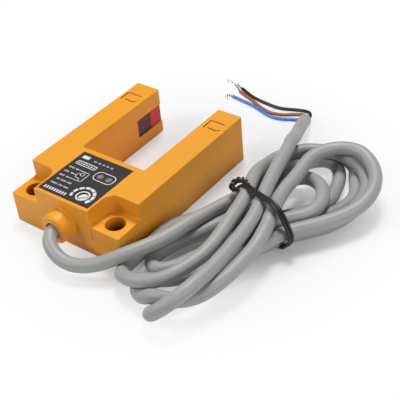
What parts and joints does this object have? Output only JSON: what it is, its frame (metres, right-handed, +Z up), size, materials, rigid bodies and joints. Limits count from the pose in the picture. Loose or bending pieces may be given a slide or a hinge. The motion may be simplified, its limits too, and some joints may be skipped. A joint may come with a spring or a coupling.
{
  "type": "fork sensor",
  "caption": "U-shaped photoelectric sensor with facing arms, mounting ears, a sensitivity trimmer and a grey cable tied in a hank.",
  "frame": {"origin": "under the middle of the body and its cable outlet, on the bottom face", "axes": "+Y along the arms to their tips, +X towards the arm beside the hank, +Z up"},
  "size_m": [0.113, 0.1353, 0.02],
  "materials": {
    "body_plastic": "satin moulded plastic, yellow orange",
    "label_film": "dark printed film",
    "ivory_plastic": "ivory moulded plastic",
    "indicator_lens": "grey diffusing lens",
    "red_window": "dark red polished plastic",
    "black_plastic": "black moulded plastic",
    "clear_resin": "clear resin",
    "circuit_board": "green solder mask",
    "red_insulation": "red insulation",
    "plain_metal": "plain metal",
    "grey_jacket": "matt grey jacket",
    "brown_insulation": "brown insulation",
    "blue_insulation": "blue insulation",
    "black_insulation": "black insulation"
  },
  "bodies": {
    "case": {"housing": "body_plastic", "bottom_cover": "body_plastic", "label": "label_film", "trimmer_body": "ivory_plastic", "power_indicator": "indicator_lens", "output_indicator": "indicator_lens", "emitter_window": "red_window", "receiver_window": "red_window", "emitter_holder": "black_plastic", "receiver_holder": "black_plastic", "emitter_diode": "clear_resin", "receiver_diode": "black_plastic", "emitter_board": "circuit_board", "receiver_board": "circuit_board", "emitter_leads": "red_insulation", "receiver_leads": "red_insulation", "main_board": "circuit_board", "amplifier_chip": "black_plastic", "output_transistor": "black_plastic", "filter_capacitor": "plain_metal", "protection_diode": "black_plastic", "inner_cores": "brown_insulation", "cable_ferrule": "plain_metal", "cable_lead": "grey_jacket", "cable_hank": "grey_jacket", "cable_tail": "grey_jacket", "brown_wire": "brown_insulation", "blue_wire": "blue_insulation", "black_wire": "black_insulation", "twist_tie": "black_insulation"},
    "adjuster": {"trimmer_rotor": "ivory_plastic"}
  },
  "joints": [
    {"name": "trimmer_turn", "type": "hinge", "parent": "case", "child": "adjuster", "pos_m": [0.0056, -0.0284, 0.0165], "axis": [0, 0, 1], "range_deg": [-135, 135]}
  ]
}
